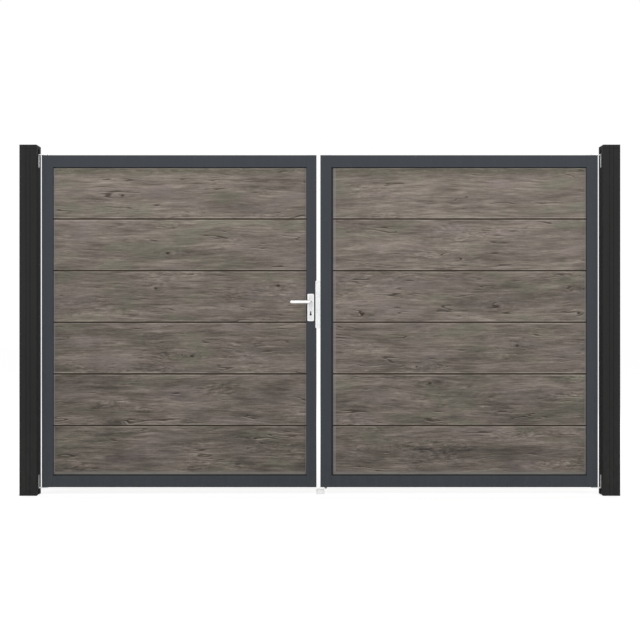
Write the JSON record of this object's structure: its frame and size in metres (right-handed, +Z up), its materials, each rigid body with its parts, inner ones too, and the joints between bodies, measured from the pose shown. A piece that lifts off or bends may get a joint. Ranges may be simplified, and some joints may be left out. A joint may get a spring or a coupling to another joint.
{
  "type": "double fence gate",
  "caption": "Double-leaf fence gate: framed horizontal boards hung on pivots between slotted square posts, with lever lock, strike keeper, drop bolt and floor stop.",
  "frame": {"origin": "on the ground, midway between the two posts and at mid-depth of the leaves", "axes": "+X along the gate to the right as seen from the front, +Y from the front to the back, the way both leaves open, +Z up"},
  "size_m": [3.23, 0.161, 1.888],
  "materials": {
    "post_coating": "fine powder coat, near black",
    "frame_coating": "fine powder coat, anthracite",
    "board": "weathered oak, sawn, horizontal grain",
    "gasket": "matt black seal",
    "end_plug": "moulded, in the frame's colour",
    "cast_alloy": "as cast",
    "bush": "moulded bearing plastic",
    "stop_zinc": "cast, bright and matt",
    "zinc_steel": "zinc plated",
    "bright_steel": "satin stainless"
  },
  "bodies": {
    "frame": {"left_post": "post_coating", "right_post": "post_coating", "left_post_cap": "post_coating", "right_post_cap": "post_coating", "left_post_covers": "post_coating", "right_post_covers": "post_coating", "left_top_bracket": "zinc_steel", "left_bottom_bracket": "zinc_steel", "right_top_bracket": "zinc_steel", "right_bottom_bracket": "zinc_steel", "pivot_pins": "bright_steel", "bracket_screws": "bright_steel", "floor_stop": "stop_zinc"},
    "left_leaf": {"left_hinge_stile": "frame_coating", "lock_stile": "frame_coating", "left_top_rail": "frame_coating", "left_bottom_rail": "frame_coating", "left_board_1": "board", "left_board_2": "board", "left_board_3": "board", "left_board_4": "board", "left_board_5": "board", "left_board_6": "board", "left_gaskets": "gasket", "left_corner_blocks": "cast_alloy", "left_end_plugs": "end_plug", "left_pivot_bushes": "bush", "lock_case": "zinc_steel", "lock_cover": "zinc_steel", "lock_forend": "bright_steel", "front_plate": "bright_steel", "back_plate": "bright_steel", "lock_screws": "bright_steel"},
    "handle": {"front_lever": "bright_steel", "back_lever": "bright_steel", "spindle": "bright_steel", "follower": "bright_steel"},
    "latch": {"latch_bolt": "bright_steel", "latch_spring": "bright_steel"},
    "dead_bolt_body": {"dead_bolt": "bright_steel"},
    "right_leaf": {"right_hinge_stile": "frame_coating", "meeting_stile": "frame_coating", "right_top_rail": "frame_coating", "right_bottom_rail": "frame_coating", "right_board_1": "board", "right_board_2": "board", "right_board_3": "board", "right_board_4": "board", "right_board_5": "board", "right_board_6": "board", "right_gaskets": "gasket", "right_corner_blocks": "cast_alloy", "right_end_plugs": "end_plug", "right_pivot_bushes": "bush", "strike_keeper": "zinc_steel", "stop_plate": "zinc_steel", "meeting_stile_screws": "bright_steel", "bolt_guides": "zinc_steel"},
    "drop_bolt": {"drop_bolt_rod": "zinc_steel", "drop_bolt_grip": "zinc_steel"}
  },
  "joints": [
    {"name": "left_leaf_hinge", "type": "hinge", "parent": "frame", "child": "left_leaf", "pos_m": [-1.48, 0, 0.94], "axis": [0, 0, 1], "range_deg": [0, 105]},
    {"name": "right_leaf_hinge", "type": "hinge", "parent": "frame", "child": "right_leaf", "pos_m": [1.48, 0, 0.94], "axis": [0, 0, -1], "range_deg": [0, 105]},
    {"name": "lever_turn", "type": "hinge", "parent": "left_leaf", "child": "handle", "pos_m": [-0.049, 0, 1.042], "axis": [0, -1, 0], "range_deg": [0, 40], "stiffness_Nm_per_rad": 1.5, "springref_deg": -20.05},
    {"name": "latch_slide", "type": "slide", "parent": "left_leaf", "child": "latch", "axis": [-1, 0, 0], "range_m": [0, 0.011], "deforming": ["latch_spring"]},
    {"name": "dead_bolt_slide", "type": "slide", "parent": "left_leaf", "child": "dead_bolt_body", "axis": [1, 0, 0], "range_m": [0, 0.014]},
    {"name": "drop_bolt_slide", "type": "slide", "parent": "right_leaf", "child": "drop_bolt", "axis": [0, 0, -1], "range_m": [0, 0.06]}
  ],
  "couplings": [
    {"joint": "latch_slide", "follows": "lever_turn", "m_per_rad": 0.01575}
  ]
}
